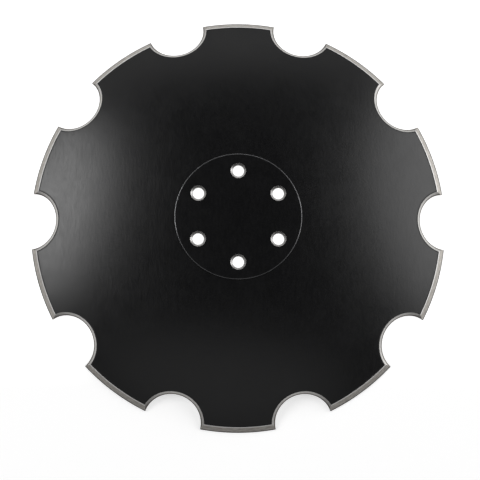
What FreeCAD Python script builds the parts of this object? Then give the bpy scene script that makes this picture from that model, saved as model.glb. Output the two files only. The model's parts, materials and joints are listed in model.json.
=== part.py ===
"""Notched harrow disc blade: one piece of boron steel, blanked, notched, dished and ground.

Frame: +Z is the disc's own axis, on the convex side, where the hub bolts on. The origin is the
centre of the rim, on the plane that the rim rests on. A notch is centred on +X. Millimetres.
"""

import FreeCAD, Part
import math
import os

import Sketcher
from FreeCAD import Vector

doc = FreeCAD.newDocument("harrow_disc")

# ---------------------------------------------------------------- driving dimensions

DIMENSIONS = (
    ("disc_diameter", 510, "over the lobes"),
    ("sheet_thickness", 5, "of the dished sheet, everywhere inside the ground edges"),
    ("dish_radius", 780, "spherical radius of the convex face"),
    ("edge_land", 1.4, "thickness left standing at the cutting edge"),
    ("bevel_width", 6.8, "ground bevel on the lobes, seen along the axis"),
    ("seat_diameter", 150, "flat of the pressed hub seat"),
    ("seat_rise", 1.5, "height of the step round the seat"),
    ("recess_diameter", 148, "flat of the same pressing, on the concave side"),
    ("step_edge_radius", 0.8, "rounding of the seat's edge"),
    ("step_draft", 15, "lean of the step's wall, on both sides"),
    ("bolt_circle", 110, "pitch circle of the hub bolts"),
    ("bolt_count", 6, "hub bolts"),
    ("bolt_hole", 13.5, "clearance for M12"),
    ("bolt_chamfer", 18.5, "mouth of the chamfer on the seat side"),
    ("chamfer_angle", 90, "full angle of that chamfer"),
    ("notch_count", 10, "notches round the rim"),
    ("notch_radius", 34.5, "punched half round"),
    ("notch_pitch_radius", 255.5, "of the notch centres, on the convex face"),
    ("notch_grind_depth", 2.2, "how deep the notch's ground chamfer goes"),
    ("notch_grind_angle", 55, "between that chamfer and the notch's axis"),
    ("punch_overrun", 12, "how far the punch runs past both faces"),
)

sheet = doc.addObject("Spreadsheet::Sheet", "dimensions")
for row, (alias, value, note) in enumerate(DIMENSIONS, start=1):
    sheet.set(f"A{row}", alias)
    sheet.set(f"B{row}", str(value))
    sheet.set(f"C{row}", note)
    sheet.setAlias(f"B{row}", alias)
doc.recompute()


def dim(alias):
    """The value of one driving dimension."""
    return float(sheet.get(alias))


# ---------------------------------------------------------------- small helpers

START, END, CENTRE = 1, 2, 3
ROOT, H_AXIS, V_AXIS = (-1, 1), -1, -2


def origin_feature(body, role):
    """One of the body's own origin planes or axes, such as XZ_Plane or Z_Axis."""
    return next(f for f in body.Origin.OriginFeatures if f.Role == role)


def new_sketch(body, name, plane):
    sketch = body.newObject("Sketcher::SketchObject", name)
    sketch.AttachmentSupport = (origin_feature(body, plane), [""])
    sketch.MapMode = "FlatFace"
    return sketch


def constrain(sketch, *definition):
    return sketch.addConstraint(Sketcher.Constraint(*definition))


def bind(sketch, name, expression, *definition):
    """A named constraint whose value follows an expression on the sheet."""
    index = constrain(sketch, *definition)
    sketch.renameConstraint(index, name)
    sketch.setExpression(f"Constraints.{name}", expression)


def read_off(sketch, name, *definition):
    """A named reference dimension: it measures the sketch and doesn't drive it."""
    index = constrain(sketch, *definition)
    sketch.renameConstraint(index, name)
    sketch.setDriving(index, False)


def chain(sketch, geometry_ids):
    """Join each element's end to the next one's start, all the way round."""
    for first, second in zip(geometry_ids, geometry_ids[1:] + geometry_ids[:1]):
        constrain(sketch, "Coincident", first, END, second, START)


def revolved(body, kind, name, sketch, axis):
    feature = body.newObject(f"PartDesign::{kind}", name)
    feature.Profile = sketch
    feature.ReferenceAxis = (sketch, [axis])
    feature.Angle = 360
    return feature


def polar_pattern(body, name, original, count_alias):
    pattern = body.newObject("PartDesign::PolarPattern", name)
    pattern.Originals = [original]
    pattern.Axis = (origin_feature(body, "Z_Axis"), [""])
    pattern.Angle = 360
    pattern.setExpression("Occurrences", f"dimensions.{count_alias}")
    body.Tip = pattern
    return pattern


# ---------------------------------------------------------------- the dished blank

body = doc.addObject("PartDesign::Body", "disc_blade")
body.Label = "disc_blade"

# Half section in the XZ plane. Both faces are concentric arcs, so the sheet has one thickness.
# The centre is pressed flat and stands one step proud of the dome. The edge is square to the
# sheet, as the blank was cut before it was dished, and the bevel is ground on the convex side.
# The points worked out here only place the sketch's lines: its constraints set their size.
outer_radius = dim("disc_diameter") / 2
seat_radius = dim("seat_diameter") / 2
recess_radius = dim("recess_diameter") / 2
bevel_radius = outer_radius - dim("bevel_width")
dome_sphere = dim("dish_radius")
hollow_sphere = dome_sphere - dim("sheet_thickness")
rim_sine = outer_radius / (hollow_sphere + dim("edge_land"))
rim_cosine = (1 - rim_sine**2) ** 0.5
drop = hollow_sphere * rim_cosine
centre = Vector(0, -drop, 0)
upright = Vector(0, 0, 1)


def on_sphere(sphere_radius, radius):
    """The point of a half section at this radius, on a sphere about the dish's centre."""
    return centre + Vector(radius, (sphere_radius**2 - radius**2) ** 0.5, 0)


def arc_from(middle, radius, start, end):
    """The anticlockwise arc about middle, from the direction of start to that of end."""
    angles = [math.atan2(point.y - middle.y, point.x - middle.x) for point in (start, end)]
    return Part.ArcOfCircle(Part.Circle(middle, upright, radius), *angles)


edge_radius = dim("step_edge_radius")
draft = math.radians(dim("step_draft"))
step_run = edge_radius + dim("seat_rise") * math.tan(draft)
seat_foot = on_sphere(dome_sphere, seat_radius + step_run)
seat_top = Vector(0, seat_foot.y + dim("seat_rise"), 0)
seat_end = seat_top + Vector(seat_radius, 0, 0)
edge_middle = seat_end - Vector(0, edge_radius, 0)
edge_joint = edge_middle + Vector(math.cos(draft), math.sin(draft), 0) * edge_radius
under_top = seat_top - Vector(0, dim("sheet_thickness"), 0)
under_end = under_top + Vector(recess_radius, 0, 0)
recess_foot = on_sphere(hollow_sphere, recess_radius + dim("seat_rise") * math.tan(draft))
bevel_start = on_sphere(dome_sphere, bevel_radius)
spoke_direction = Vector(rim_sine, rim_cosine, 0)
rim_corner = centre + spoke_direction * (hollow_sphere + dim("edge_land"))
rest_corner = centre + spoke_direction * hollow_sphere

section = new_sketch(body, "section", "XZ_Plane")
seat_line = section.addGeometry(Part.LineSegment(seat_end, seat_top))
seat_edge = section.addGeometry(arc_from(edge_middle, edge_radius, edge_joint, seat_end))
seat_wall = section.addGeometry(Part.LineSegment(edge_joint, seat_foot))
dome = section.addGeometry(arc_from(centre, dome_sphere, bevel_start, seat_foot))
bevel = section.addGeometry(Part.LineSegment(rim_corner, bevel_start))
land = section.addGeometry(Part.LineSegment(rest_corner, rim_corner))
hollow = section.addGeometry(arc_from(centre, hollow_sphere, rest_corner, recess_foot))
recess_wall = section.addGeometry(Part.LineSegment(under_end, recess_foot))
under_line = section.addGeometry(Part.LineSegment(under_top, under_end))
axis_line = section.addGeometry(Part.LineSegment(seat_top, under_top))
spoke = section.addGeometry(Part.LineSegment(centre, rim_corner), True)

constrain(section, "Tangent", seat_edge, END, seat_line, START)
constrain(section, "Tangent", seat_edge, START, seat_wall, START)
constrain(section, "Coincident", seat_wall, END, dome, END)
constrain(section, "Coincident", dome, START, bevel, END)
constrain(section, "Coincident", bevel, START, land, END)
constrain(section, "Coincident", land, START, hollow, START)
constrain(section, "Coincident", hollow, END, recess_wall, END)
constrain(section, "Coincident", recess_wall, START, under_line, END)
constrain(section, "Parallel", recess_wall, seat_wall)
constrain(section, "Coincident", under_line, START, axis_line, END)
constrain(section, "Coincident", axis_line, START, seat_line, END)
constrain(section, "Coincident", dome, CENTRE, hollow, CENTRE)
constrain(section, "Coincident", spoke, START, dome, CENTRE)
constrain(section, "Coincident", spoke, END, land, END)
constrain(section, "PointOnObject", land, START, spoke)
constrain(section, "PointOnObject", land, START, H_AXIS)
constrain(section, "PointOnObject", dome, CENTRE, V_AXIS)
constrain(section, "PointOnObject", axis_line, START, V_AXIS)
constrain(section, "PointOnObject", axis_line, END, V_AXIS)
constrain(section, "Horizontal", seat_line)
constrain(section, "Horizontal", under_line)

bind(section, "dome_radius", "dimensions.dish_radius", "Radius", dome, dome_sphere)
bind(section, "hollow_radius", "dimensions.dish_radius - dimensions.sheet_thickness",
     "Radius", hollow, hollow_sphere)
bind(section, "rim_radius", "dimensions.disc_diameter / 2",
     "DistanceX", *ROOT, land, END, outer_radius)
bind(section, "land", "dimensions.edge_land", "Distance", land, dim("edge_land"))
bind(section, "bevel_radius", "dimensions.disc_diameter / 2 - dimensions.bevel_width",
     "DistanceX", *ROOT, bevel, END, bevel_radius)
bind(section, "seat_radius", "dimensions.seat_diameter / 2",
     "DistanceX", *ROOT, seat_line, START, seat_radius)
bind(section, "seat_rise", "dimensions.seat_rise",
     "DistanceY", seat_wall, END, seat_line, END, dim("seat_rise"))
bind(section, "seat_edge_radius", "dimensions.step_edge_radius", "Radius", seat_edge, edge_radius)
bind(section, "step_draft", "dimensions.step_draft",
     "Angle", V_AXIS, START, seat_wall, END, draft)
bind(section, "recess_radius", "dimensions.recess_diameter / 2",
     "DistanceX", *ROOT, under_line, END, recess_radius)
bind(section, "seat_thickness", "dimensions.sheet_thickness",
     "DistanceY", axis_line, END, axis_line, START, dim("sheet_thickness"))

# Two sizes that other sketches need and that follow from the rest.
read_off(section, "drop", "DistanceY", dome, CENTRE, *ROOT, drop)
read_off(section, "seat_height", "DistanceY", *ROOT, axis_line, START, seat_top.y)

blank = revolved(body, "Revolution", "dished_blank", section, "V_Axis")
doc.recompute()

# ---------------------------------------------------------------- the notches

# Each notch was punched square to the flat blank, so its axis runs through the dish's centre,
# and its convex edge is ground to a chamfer. One groove about that axis makes wall and chamfer.
notch_sine = dim("notch_pitch_radius") / dome_sphere
notch_axis = Vector(notch_sine, (1 - notch_sine**2) ** 0.5, 0)
inward = Vector(-notch_axis.y, notch_axis.x, 0)
overrun = dim("punch_overrun")
wall_length = dim("sheet_thickness") + overrun - dim("notch_grind_depth")
punch_low = centre + notch_axis * (hollow_sphere - overrun)
punch_high = centre + notch_axis * (dome_sphere + overrun)
wall_low = punch_low + inward * dim("notch_radius")
wall_top = wall_low + notch_axis * wall_length
grind_run = (overrun + dim("notch_grind_depth")) * math.tan(math.radians(dim("notch_grind_angle")))
grind_out = punch_high + inward * (dim("notch_radius") + grind_run)

notch_section = new_sketch(body, "notch_section", "XZ_Plane")
punch_axis = notch_section.addGeometry(Part.LineSegment(centre, punch_low), True)
foot = notch_section.addGeometry(Part.LineSegment(punch_low, wall_low))
wall = notch_section.addGeometry(Part.LineSegment(wall_low, wall_top))
grind = notch_section.addGeometry(Part.LineSegment(wall_top, grind_out))
head = notch_section.addGeometry(Part.LineSegment(grind_out, punch_high))
core = notch_section.addGeometry(Part.LineSegment(punch_high, punch_low))
chain(notch_section, [foot, wall, grind, head, core])
constrain(notch_section, "Coincident", punch_axis, END, foot, START)
constrain(notch_section, "PointOnObject", punch_axis, START, V_AXIS)
constrain(notch_section, "Parallel", punch_axis, core)
constrain(notch_section, "Perpendicular", core, foot)
constrain(notch_section, "Perpendicular", core, head)
constrain(notch_section, "Parallel", core, wall)
bind(notch_section, "drop", "section.Constraints.drop",
     "DistanceY", punch_axis, START, *ROOT, drop)
bind(notch_section, "lean", "asin(dimensions.notch_pitch_radius / dimensions.dish_radius)",
     "Angle", punch_axis, START, V_AXIS, START, math.asin(notch_sine))
bind(notch_section, "notch_radius", "dimensions.notch_radius", "Distance", foot, dim("notch_radius"))
bind(notch_section, "foot_height",
     "dimensions.dish_radius - dimensions.sheet_thickness - dimensions.punch_overrun",
     "Distance", punch_axis, hollow_sphere - overrun)
bind(notch_section, "wall_height",
     "dimensions.sheet_thickness + dimensions.punch_overrun - dimensions.notch_grind_depth",
     "Distance", wall, wall_length)
bind(notch_section, "core_height", "dimensions.sheet_thickness + 2 * dimensions.punch_overrun",
     "Distance", core, dim("sheet_thickness") + 2 * overrun)
bind(notch_section, "grind_angle", "180 deg - dimensions.notch_grind_angle * 1 deg",
     "Angle", grind, START, wall, END, math.radians(180 - dim("notch_grind_angle")))

notch = revolved(body, "Groove", "notch", notch_section, "Axis0")
doc.recompute()
notches = polar_pattern(body, "notches", notch, "notch_count")
doc.recompute()

# ---------------------------------------------------------------- the bolt holes

bolt_sketch = new_sketch(body, "bolt_sketch", "XY_Plane")
bolt_sketch.setExpression("AttachmentOffset.Base.z", "section.Constraints.seat_height")
bolt_place = Vector(0, dim("bolt_circle") / 2, 0)
bolt_sketch.addGeometry(Part.Circle(bolt_place, Vector(0, 0, 1), dim("bolt_hole") / 2))
constrain(bolt_sketch, "PointOnObject", 0, CENTRE, V_AXIS)
bind(bolt_sketch, "pitch_radius", "dimensions.bolt_circle / 2",
     "DistanceY", *ROOT, 0, CENTRE, bolt_place.y)
bind(bolt_sketch, "hole_radius", "dimensions.bolt_hole / 2", "Radius", 0, dim("bolt_hole") / 2)
doc.recompute()

bolt_hole = body.newObject("PartDesign::Hole", "bolt_hole")
bolt_hole.Profile = bolt_sketch
doc.recompute()
bolt_hole.DepthType = "ThroughAll"
bolt_hole.HoleCutType = "Countersink"
bolt_hole.HoleCutCustomValues = True
bolt_hole.setExpression("Diameter", "dimensions.bolt_hole")
bolt_hole.setExpression("HoleCutDiameter", "dimensions.bolt_chamfer")
bolt_hole.setExpression("HoleCutCountersinkAngle", "dimensions.chamfer_angle")
doc.recompute()
bolt_holes = polar_pattern(body, "bolt_holes", bolt_hole, "bolt_count")
doc.recompute()

# ---------------------------------------------------------------- checks and export


def check_cut(before, cut, pattern, count):
    """A cut must take metal away, and its pattern must repeat it this many times."""
    one_cut = before.Shape.Volume - cut.Shape.Volume
    all_cuts = before.Shape.Volume - pattern.Shape.Volume
    if one_cut <= 0 or abs(all_cuts - count * one_cut) > 0.01 * all_cuts:
        raise RuntimeError(f"{cut.Name} takes {one_cut:.0f} mm3 and {pattern.Name} {all_cuts:.0f}")


for item in doc.Objects:
    if "Invalid" in item.State or "Error" in item.State:
        raise RuntimeError(f"{item.Name} failed: {item.State}")
for sketch in (section, notch_section, bolt_sketch):
    if not sketch.FullyConstrained:
        raise RuntimeError(f"{sketch.Name} isn't fully constrained")
check_cut(blank, notch, notches, dim("notch_count"))
check_cut(notches, bolt_hole, bolt_holes, dim("bolt_count"))
if body.Shape.isNull() or not body.Shape.isValid() or len(body.Shape.Solids) != 1:
    raise RuntimeError(f"{body.Label} isn't one valid solid")

os.makedirs("parts", exist_ok=True)
body.Shape.exportStep(f"parts/{body.Label}.step")
box = body.Shape.BoundBox
print(f"{body.Label}: {box.XLength:.1f} x {box.YLength:.1f} x {box.ZLength:.1f} mm, "
      f"{body.Shape.Volume / 1000:.1f} cm3")
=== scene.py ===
"""Looks of a notched harrow disc blade: one piece of 5 mm boron steel that lies on its rim, hub side up."""

import json
import math

import bpy
from mathutils import Euler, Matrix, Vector


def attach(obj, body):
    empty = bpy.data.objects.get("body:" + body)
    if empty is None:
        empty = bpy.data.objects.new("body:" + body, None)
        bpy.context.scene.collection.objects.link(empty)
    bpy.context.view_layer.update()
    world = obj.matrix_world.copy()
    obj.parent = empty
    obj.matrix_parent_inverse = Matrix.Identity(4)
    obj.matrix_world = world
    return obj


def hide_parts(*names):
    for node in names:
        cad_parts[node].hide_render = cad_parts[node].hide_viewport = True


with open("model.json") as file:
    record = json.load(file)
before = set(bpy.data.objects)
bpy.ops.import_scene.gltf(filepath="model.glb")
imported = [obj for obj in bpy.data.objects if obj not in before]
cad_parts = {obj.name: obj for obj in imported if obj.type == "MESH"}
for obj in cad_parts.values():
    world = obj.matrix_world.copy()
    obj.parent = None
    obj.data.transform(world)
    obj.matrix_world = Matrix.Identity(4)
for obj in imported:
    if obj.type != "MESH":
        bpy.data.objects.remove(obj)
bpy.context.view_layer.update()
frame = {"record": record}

# ---------------------------------------------------------------- the pressed blank
# A round blank of boron steel, pressed hot to a shallow spherical dish with a flat hub seat in
# the middle that stands one step proud. The edge is cut square to the sheet, and a bevel is
# ground on the convex side until only a thin land is left.

mounts = {mount["name"]: mount for mount in frame["record"]["mounts"]}
seat_height = mounts["hub_seat"]["pos_m"][2]
rim_radius = 0.255
sheet_thickness = 0.005
dome_sphere = 0.780
hollow_sphere = dome_sphere - sheet_thickness
edge_land = 0.0014
bevel_radius = rim_radius - 0.0068
seat_radius = 0.075
recess_radius = 0.074
step_edge_radius = 0.0008
step_draft = math.radians(15)
seat_rise = 0.0015
turned_steps = 360
arc_steps = 30
edge_steps = 5
merge_distance = 0.00002

rim_sine = rim_radius / (hollow_sphere + edge_land)
drop = hollow_sphere * math.sqrt(1 - rim_sine**2)
dish_centre = Vector((0, 0, -drop))
step_foot = seat_radius + step_edge_radius + seat_rise * math.tan(step_draft)
recess_foot = recess_radius + seat_rise * math.tan(step_draft)


def cursor_vertex():
    """The one selected vertex, where the next stretch of the profile starts."""
    mesh = bpy.context.edit_object.data
    bpy.context.edit_object.update_from_editmode()
    return next(vertex.co.copy() for vertex in mesh.vertices if vertex.select)


def line_to(x, z):
    """A straight stretch of the profile, to this radius and height."""
    bpy.ops.mesh.extrude_vertices_move(
        TRANSFORM_OT_translate={"value": Vector((x, 0, z)) - cursor_vertex()})


def arc_to(centre, turn, steps):
    """A round stretch of the profile about a centre: a positive turn goes outwards and down."""
    bpy.ops.mesh.spin(steps=steps, angle=turn, center=centre, axis=(0, -1, 0))


# A small plane merged to one point starts the half section on the axis, at the seat's middle.
bpy.ops.object.select_all(action="DESELECT")
bpy.ops.mesh.primitive_plane_add(size=0.001, location=(0, 0, 0))
blade = bpy.context.object
blade.name = blade.data.name = "blade"
bpy.ops.object.mode_set(mode="EDIT")
bpy.ops.mesh.select_mode(type="VERT")
bpy.ops.mesh.merge(type="CENTER")
bpy.ops.transform.translate(value=(0, 0, seat_height))
line_to(seat_radius, seat_height)
arc_to((seat_radius, 0, seat_height - step_edge_radius), math.pi / 2 - step_draft, edge_steps)
line_to(step_foot, math.sqrt(dome_sphere**2 - step_foot**2) - drop)
arc_to(dish_centre, math.asin(bevel_radius / dome_sphere) - math.asin(step_foot / dome_sphere), arc_steps)
line_to(rim_radius, (hollow_sphere + edge_land) * math.sqrt(1 - rim_sine**2) - drop)
line_to(hollow_sphere * rim_sine, 0)
arc_to(dish_centre, math.asin(recess_foot / hollow_sphere) - math.asin(rim_sine), arc_steps)
line_to(recess_radius, seat_height - sheet_thickness)
line_to(0, seat_height - sheet_thickness)
bpy.ops.mesh.select_all(action="SELECT")
bpy.ops.mesh.spin(steps=turned_steps, angle=math.tau, center=(0, 0, 0), axis=(0, 0, 1))
bpy.ops.mesh.select_all(action="SELECT")
bpy.ops.mesh.remove_doubles(threshold=merge_distance)
bpy.ops.mesh.normals_make_consistent(inside=False)
bpy.ops.object.mode_set(mode="OBJECT")

# ---------------------------------------------------------------- the black coat
# The whole blade is dipped or sprayed black after heat treatment: a thin satin coat over
# slightly uneven rolled steel, with a fine mottle in its gloss and a dull line where it ends.


def add_node(tree, kind, inputs=(), **settings):
    """A node with its settings, and its inputs as values or as other nodes' sockets."""
    node = tree.nodes.new(kind)
    for name, value in settings.items():
        setattr(node, name, value)
    for name, value in dict(inputs).items():
        if isinstance(value, bpy.types.NodeSocket):
            tree.links.new(value, node.inputs[name])
        else:
            node.inputs[name].default_value = value
    return node


def noise(tree, place, size, detail=2, roughness=0.5):
    """Noise with features of about this size in metres, as a value from 0 to 1."""
    inputs = {"Vector": place, "Scale": 1 / size, "Detail": detail, "Roughness": roughness}
    return add_node(tree, "ShaderNodeTexNoise", inputs).outputs["Fac"]


def ramp(tree, value, low, high, first=0.0, last=1.0, smooth=True):
    """A value mapped from low..high to first..last, and held beyond both ends."""
    return add_node(tree, "ShaderNodeMapRange",
                    {"Value": value, "From Min": low, "From Max": high, "To Min": first, "To Max": last},
                    interpolation_type="SMOOTHSTEP" if smooth else "LINEAR").outputs["Result"]


def calculate(tree, operation, first, second=0.0, third=0.0):
    """One step of arithmetic on values or sockets."""
    return add_node(tree, "ShaderNodeMath", {0: first, 1: second, 2: third},
                    operation=operation).outputs["Value"]


def blend(tree, share, first, second):
    """A colour between two, by a share from 0 to 1."""
    mix = add_node(tree, "ShaderNodeMix", data_type="RGBA")
    for index, value in ((0, share), (6, first), (7, second)):
        if isinstance(value, bpy.types.NodeSocket):
            tree.links.new(value, mix.inputs[index])
        else:
            mix.inputs[index].default_value = value
    return mix.outputs[2]


def new_group(name, outputs):
    """A node group that reads a place on the object and puts out values."""
    group = bpy.data.node_groups.new(name, "ShaderNodeTree")
    group.interface.new_socket("Place", in_out="INPUT", socket_type="NodeSocketVector")
    for output in outputs:
        group.interface.new_socket(output, in_out="OUTPUT", socket_type="NodeSocketFloat")
    return group, group.nodes.new("NodeGroupInput").outputs["Place"], group.nodes.new("NodeGroupOutput")


def new_material(name, **shader_values):
    """A material with its shader's uniform values set, and the place on the object."""
    material = bpy.data.materials.new(name)
    material.use_nodes = True
    shader = material.node_tree.nodes["Principled BSDF"]
    for socket, value in shader_values.items():
        shader.inputs[socket.replace("_", " ")].default_value = value
    place = add_node(material.node_tree, "ShaderNodeTexCoord").outputs["Object"]
    return material, material.node_tree, shader, place


polar_group, place, group_output = new_group("round_the_axis", ["Radius", "Turn"])
flat = add_node(polar_group, "ShaderNodeVectorMath", {0: place, 1: (1, 1, 0)}, operation="MULTIPLY")
length = add_node(polar_group, "ShaderNodeVectorMath", {0: flat.outputs[0]}, operation="LENGTH")
split = add_node(polar_group, "ShaderNodeSeparateXYZ", {0: place})
turn = calculate(polar_group, "ARCTAN2", split.outputs["Y"], split.outputs["X"])
polar_group.links.new(length.outputs["Value"], group_output.inputs["Radius"])
polar_group.links.new(turn, group_output.inputs["Turn"])

darkest_coat = (0.0032, 0.0032, 0.0036, 1)
lightest_coat = (0.0054, 0.0055, 0.0061, 1)
rubbed_steel_and_highlight = (0.30, 0.30, 0.31, 1)
mottle_size = 0.0022
patch_size = 0.030
streak_size = 0.0035
peel_height = 0.00012
wear_and_highlight_width = 0.0009

coat, tree, shader, place = new_material("satin_coat", IOR=1.5)
polar = add_node(tree, "ShaderNodeGroup", {"Place": place}, node_tree=polar_group)
split = add_node(tree, "ShaderNodeSeparateXYZ", {0: place})
fine = noise(tree, place, mottle_size, detail=3)
patches = noise(tree, place, patch_size, detail=3)
# The sheet's rolling marks show through the coat as short, soft streaks in its gloss.
rolled = add_node(tree, "ShaderNodeMapping", {"Vector": place, "Scale": (1, 0.3, 1)})
streaks = noise(tree, rolled.outputs["Vector"], streak_size, detail=5, roughness=0.65)
uneven = calculate(tree, "MULTIPLY_ADD", streaks, 0.45, calculate(tree, "MULTIPLY", patches, 0.25))
uneven = calculate(tree, "MULTIPLY_ADD", fine, 0.3, uneven)
black = blend(tree, uneven, darkest_coat, lightest_coat)
# The seat's rounded edge is rubbed nearly bare; this bare line is also a painted highlight, painted dimmest
# towards the front and brightest towards the back.
inside = ramp(tree, polar.outputs["Radius"], seat_radius - 0.0003, seat_radius + 0.0001)
outside = ramp(tree, polar.outputs["Radius"], seat_radius + wear_and_highlight_width, seat_radius + wear_and_highlight_width - 0.0004)
on_top = ramp(tree, split.outputs["Z"], seat_height - 0.0012, seat_height - 0.0008)
wear_and_highlight = calculate(tree, "MULTIPLY", calculate(tree, "MULTIPLY", inside, outside), on_top)
wear_and_highlight = calculate(tree, "MULTIPLY", wear_and_highlight, ramp(tree, patches, 0.35, 0.60, 0.5, 0.9))
# Painted highlight: the bare line is painted brighter towards the back and dimmer towards the front, as the
# light falls on it.
wear_and_highlight = calculate(tree, "MULTIPLY", wear_and_highlight, ramp(tree, split.outputs["Y"], -0.060, 0.0, 0.35, 1.0))
tree.links.new(blend(tree, wear_and_highlight, black, rubbed_steel_and_highlight), shader.inputs["Base Color"])
tree.links.new(wear_and_highlight, shader.inputs["Metallic"])
coat_roughness = ramp(tree, uneven, 0.35, 0.65, 0.275, 0.345)
peel = add_node(tree, "ShaderNodeBump", {
    "Height": calculate(tree, "MULTIPLY_ADD", fine, 0.5, streaks), "Strength": 0.6, "Distance": peel_height})
tree.links.new(peel.outputs["Normal"], shader.inputs["Normal"])

# ---------------------------------------------------------------- the ground bevel
# The cutting edge of each lobe is ground bare after coating, so it shows streaked grey steel,
# with a brighter line painted along its inner border and a darker line painted along the very edge.

dark_ground = (0.26, 0.245, 0.225, 1)
light_ground = (0.58, 0.555, 0.52, 1)
inner_line_steel = (0.74, 0.73, 0.72, 1)
edge_line_steel = (0.09, 0.085, 0.08, 1)
dark_cut = (0.10, 0.095, 0.09, 1)
light_cut = (0.22, 0.21, 0.20, 1)
grain_size = 0.0012

ground, tree, shader, place = new_material("ground_bevel", Metallic=1.0)
polar = add_node(tree, "ShaderNodeGroup", {"Place": place}, node_tree=polar_group)
grain = noise(tree, place, grain_size, detail=3)
patches = noise(tree, place, 0.008, detail=2)
mottle = calculate(tree, "MULTIPLY_ADD", grain, 0.5, calculate(tree, "MULTIPLY", patches, 0.5))
# The wheel's streaks run along the edge: fine across it and long round the axis.
run = calculate(tree, "MULTIPLY", polar.outputs["Turn"], rim_radius * 0.15)
unrolled = add_node(tree, "ShaderNodeCombineXYZ", {0: polar.outputs["Radius"], 1: run})
streaks = ramp(tree, noise(tree, unrolled.outputs[0], 0.0010, detail=2), 0.35, 0.65)
mottle = calculate(tree, "MULTIPLY_ADD", mottle, 0.6, calculate(tree, "MULTIPLY", streaks, 0.4))
steel = blend(tree, mottle, dark_ground, light_ground)
# A brighter line is painted along the bevel's inner border, and a darker one along the very edge.
inner_line = ramp(tree, polar.outputs["Radius"], bevel_radius + 0.0015, bevel_radius + 0.0007)
steel = blend(tree, inner_line, steel, inner_line_steel)
edge_line = ramp(tree, polar.outputs["Radius"], rim_radius - 0.0013, rim_radius - 0.0007)
steel = blend(tree, edge_line, steel, edge_line_steel)
tree.links.new(steel, shader.inputs["Base Color"])
tree.links.new(ramp(tree, grain, 0.3, 0.7, 0.42, 0.55), shader.inputs["Roughness"])

cut, tree, shader, place = new_material("cut_steel", Metallic=1.0)
grain = noise(tree, place, 0.0015, detail=3)
tree.links.new(blend(tree, grain, dark_cut, light_cut), shader.inputs["Base Color"])
tree.links.new(ramp(tree, grain, 0.3, 0.7, 0.45, 0.6), shader.inputs["Roughness"])

for material in (coat, ground, cut):
    blade.data.materials.append(material)
for face in blade.data.polygons:
    from_axis = math.hypot(face.center.x, face.center.y)
    if from_axis > bevel_radius and face.normal.z > -0.5:
        face.material_index = 1 if face.normal.z > 0.5 else 2

# ---------------------------------------------------------------- the notches
# Ten half-round notches are punched square to the flat blank, so after pressing each one's axis
# points to the dish's centre. Their convex edge is ground to a narrow chamfer.

notch_count = 10
notch_radius = 0.0345
notch_pitch_radius = 0.2555
notch_grind_depth = 0.0034
notch_grind_angle = math.radians(60)
chamfer_width = 0.0042
dark_width = 0.0015
notch_steps = 144
punch_overrun = 0.012
notch_lean = math.asin(notch_pitch_radius / dome_sphere)
grind_height = notch_grind_depth + punch_overrun
flare = 1 + grind_height * math.tan(notch_grind_angle) / notch_radius
wall_height = sheet_thickness + punch_overrun - notch_grind_depth

notch_group, place, group_output = new_group("from_the_notch", ["Distance"])
polar = add_node(notch_group, "ShaderNodeGroup", {"Place": place}, node_tree=polar_group)
split = add_node(notch_group, "ShaderNodeSeparateXYZ", {0: place})
half_pitch = math.pi / notch_count
folded = calculate(notch_group, "WRAP", polar.outputs["Turn"], half_pitch, -half_pitch)
radius = polar.outputs["Radius"]
outwards = calculate(notch_group, "MULTIPLY", radius, calculate(notch_group, "COSINE", folded))
rise = calculate(notch_group, "ADD", split.outputs["Z"], drop)
along = calculate(notch_group, "MULTIPLY_ADD", outwards, math.sin(notch_lean),
                  calculate(notch_group, "MULTIPLY", rise, math.cos(notch_lean)))
from_centre = calculate(notch_group, "MULTIPLY_ADD", radius, radius,
                        calculate(notch_group, "MULTIPLY", rise, rise))
across = calculate(notch_group, "SUBTRACT", from_centre, calculate(notch_group, "MULTIPLY", along, along))
notch_group.links.new(calculate(notch_group, "SQRT", across), group_output.inputs["Distance"])

chamfer, tree, shader, place = new_material("notch_chamfer", Metallic=1.0)
notch_axis = add_node(tree, "ShaderNodeGroup", {"Place": place}, node_tree=notch_group)
grain = noise(tree, place, grain_size, detail=3)
light_steel = blend(tree, grain, (0.36, 0.35, 0.34, 1), (0.64, 0.63, 0.61, 1))
dark_steel = blend(tree, grain, (0.11, 0.100, 0.090, 1), (0.20, 0.185, 0.165, 1))
# The chamfer is painted darker in a band next to the notch's wall and lighter beyond it.
light_band = ramp(tree, notch_axis.outputs["Distance"], notch_radius + dark_width - 0.0003,
                 notch_radius + dark_width + 0.0003)
tree.links.new(blend(tree, light_band, dark_steel, light_steel), shader.inputs["Base Color"])
tree.links.new(ramp(tree, grain, 0.3, 0.7, 0.42, 0.55), shader.inputs["Roughness"])

# The coat is scorched dull in a thin line beside everything that was ground.
tree = coat.node_tree
place = tree.nodes["Texture Coordinate"].outputs["Object"]
polar = add_node(tree, "ShaderNodeGroup", {"Place": place}, node_tree=polar_group)
notch_axis = add_node(tree, "ShaderNodeGroup", {"Place": place}, node_tree=notch_group)
by_bevel = ramp(tree, polar.outputs["Radius"], bevel_radius - 0.0018, bevel_radius - 0.0006)
by_notch = ramp(tree, notch_axis.outputs["Distance"], notch_radius + chamfer_width + 0.0018,
                notch_radius + chamfer_width + 0.0006)
dull = calculate(tree, "MAXIMUM", by_bevel, by_notch)
tree.links.new(calculate(tree, "MULTIPLY_ADD", dull, 0.35, coat_roughness),
               tree.nodes["Principled BSDF"].inputs["Roughness"])

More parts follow.
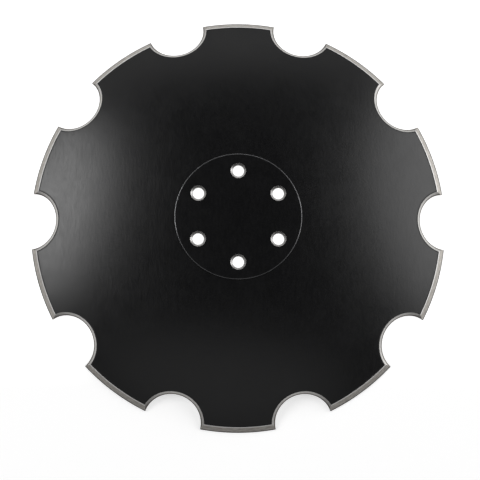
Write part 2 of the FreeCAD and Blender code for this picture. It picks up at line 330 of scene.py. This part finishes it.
bpy.ops.mesh.primitive_circle_add(vertices=notch_steps, radius=notch_radius, fill_type="NGON")
punches = bpy.context.object
bpy.ops.object.mode_set(mode="EDIT")
bpy.ops.transform.translate(value=(0, 0, hollow_sphere - punch_overrun - drop))
bpy.ops.mesh.extrude_region_move(TRANSFORM_OT_translate={"value": (0, 0, wall_height)})
bpy.ops.mesh.extrude_region_move(TRANSFORM_OT_translate={"value": (0, 0, grind_height)})
bpy.ops.transform.resize(value=(flare, flare, 1))
bpy.ops.mesh.select_all(action="SELECT")
bpy.ops.transform.rotate(value=-notch_lean, orient_axis="Y", center_override=dish_centre)
bpy.ops.mesh.spin(steps=notch_count - 1, dupli=True, angle=math.tau * (1 - 1 / notch_count),
                  center=(0, 0, 0), axis=(0, 0, 1))
bpy.ops.mesh.select_all(action="SELECT")
bpy.ops.mesh.normals_make_consistent(inside=False)
bpy.ops.object.mode_set(mode="OBJECT")
punches.data.materials.append(cut)
punches.data.materials.append(chamfer)
punch_foot = hollow_sphere - punch_overrun + wall_height
for face in punches.data.polygons:
    face.material_index = 1 if (face.center - dish_centre).length > punch_foot + 0.001 else 0

# ---------------------------------------------------------------- the bolt holes
# Six clearance holes for the hub's bolts are drilled through the seat after coating, and their
# mouths are countersunk, so both show bright turned steel.

bolt_circle = mounts["hub_bolts"]["dims"]["pcd_mm"] / 1000
bolt_count = mounts["hub_bolts"]["dims"]["count"]
bolt_hole_radius = mounts["hub_bolts"]["dims"]["hole_r_mm"] / 1000
chamfer_mouth = 0.00925
chamfer_depth = chamfer_mouth - bolt_hole_radius
drill_overrun = 0.004

dark_turned = (0.55, 0.54, 0.53, 1)
light_turned = (0.75, 0.74, 0.73, 1)
hole_steps = 64

drilled, tree, shader, place = new_material("drilled_steel", Metallic=1.0)
grain = noise(tree, place, 0.0010, detail=2)
tree.links.new(blend(tree, grain, dark_turned, light_turned), shader.inputs["Base Color"])
tree.links.new(ramp(tree, grain, 0.3, 0.7, 0.28, 0.38), shader.inputs["Roughness"])

bpy.ops.mesh.primitive_circle_add(vertices=hole_steps, radius=bolt_hole_radius, fill_type="NGON")
drills = bpy.context.object
bpy.ops.object.mode_set(mode="EDIT")
bpy.ops.transform.translate(value=(0, bolt_circle / 2, seat_height - sheet_thickness - drill_overrun))
bpy.ops.mesh.extrude_region_move(TRANSFORM_OT_translate={
    "value": (0, 0, sheet_thickness + drill_overrun - chamfer_depth)})
bpy.ops.mesh.extrude_region_move(TRANSFORM_OT_translate={"value": (0, 0, chamfer_depth + drill_overrun)})
mouth = (bolt_hole_radius + chamfer_depth + drill_overrun) / bolt_hole_radius
bpy.ops.transform.resize(value=(mouth, mouth, 1))
bpy.ops.mesh.select_all(action="SELECT")
bpy.ops.mesh.spin(steps=bolt_count - 1, dupli=True, angle=math.tau * (1 - 1 / bolt_count),
                  center=(0, 0, 0), axis=(0, 0, 1))
bpy.ops.mesh.select_all(action="SELECT")
bpy.ops.mesh.normals_make_consistent(inside=False)
bpy.ops.object.mode_set(mode="OBJECT")
drills.data.materials.append(drilled)

bpy.ops.object.select_all(action="DESELECT")
bpy.context.view_layer.objects.active = blade
for tool in (punches, drills):
    cut_out = blade.modifiers.new("cut_out", "BOOLEAN")
    cut_out.operation = "DIFFERENCE"
    cut_out.object = tool
    cut_out.material_mode = "TRANSFER"
    bpy.ops.object.modifier_apply(modifier=cut_out.name)
    bpy.data.objects.remove(tool)
blade.select_set(True)
bpy.ops.object.shade_smooth_by_angle(angle=math.radians(20))

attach(blade, "root")
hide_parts("disc_blade")

# ---------------------------------------------------------------- the floor and the light
# A pale studio table under a white sheet that glows by itself as well as being lit from above,
# with a large soft light on the left, a weaker one on the right and a faint one behind.

floor_size = 12
front_glow = 0.64
back_glow = 0.95
hub_glow = 0.2

bpy.ops.mesh.primitive_grid_add(x_subdivisions=8, y_subdivisions=8, size=floor_size)
floor = bpy.context.object
floor.name = floor.data.name = "floor"
sheet, tree, shader, place = new_material("white_sheet", Roughness=0.9)
shader.inputs["Base Color"].default_value = (0.58, 0.58, 0.58, 1)
# It glows more towards the back and under the hub: painted light that fills in the shade the blade would
# cast there.
polar = add_node(tree, "ShaderNodeGroup", {"Place": place}, node_tree=polar_group)
split = add_node(tree, "ShaderNodeSeparateXYZ", {0: place})
to_the_back = ramp(tree, split.outputs["Y"], -0.205, -0.130, front_glow, back_glow)
under_hub = ramp(tree, polar.outputs["Radius"], 0.12, 0.08, 0.0, hub_glow)
tree.links.new(calculate(tree, "ADD", to_the_back, under_hub), shader.inputs["Emission Color"])
shader.inputs["Emission Strength"].default_value = 1.0
shader.inputs["Specular IOR Level"].default_value = 0.0
floor.data.materials.append(sheet)


def soft_light(name, azimuth, off_vertical, distance, width, height, power):
    """An oval soft box that points at the middle of the blade."""
    lamp = bpy.data.lights.new(name, "AREA")
    lamp.shape = "ELLIPSE"
    lamp.size, lamp.size_y, lamp.energy = width, height, power
    light = bpy.data.objects.new(name, lamp)
    bpy.context.collection.objects.link(light)
    turned = Euler((0, math.radians(off_vertical), math.radians(azimuth)))
    light.rotation_euler = turned
    light.location = turned.to_matrix() @ Vector((0, 0, distance))


soft_light("left_box", 164, 49, 3.0, 1.16, 2.2, 39.6)
soft_light("right_box", 15, 61.5, 3.0, 2.8, 3.2, 62.9)
soft_light("back_box", 93, 57, 3.0, 0.81, 4.0, 7.1)
soft_light("front_box", -96, 33, 3.0, 1.33, 3.5, 5.1)

world = bpy.data.worlds.new("studio")
world.use_nodes = True
world.node_tree.nodes["Background"].inputs["Color"].default_value = (1, 1, 1, 1)
world.node_tree.nodes["Background"].inputs["Strength"].default_value = 0.02
bpy.context.scene.world = world

# ---------------------------------------------------------------- the camera
# It looks down on the hub side, a little from the front, with the blade filling the frame.

lens = 73.1
camera_turn = Euler((math.radians(8.5), math.radians(-0.4), math.radians(0.05)))
camera_offset = Vector((0.0023, -0.0219, 1.202))

camera_data = bpy.data.cameras.new("camera")
camera_data.sensor_width = 36
camera_data.lens = lens
camera = bpy.data.objects.new("camera", camera_data)
bpy.context.collection.objects.link(camera)
camera.rotation_euler = camera_turn
camera.location = camera_turn.to_matrix() @ camera_offset
bpy.context.scene.camera = camera
bpy.context.scene.view_settings.view_transform = "Standard"
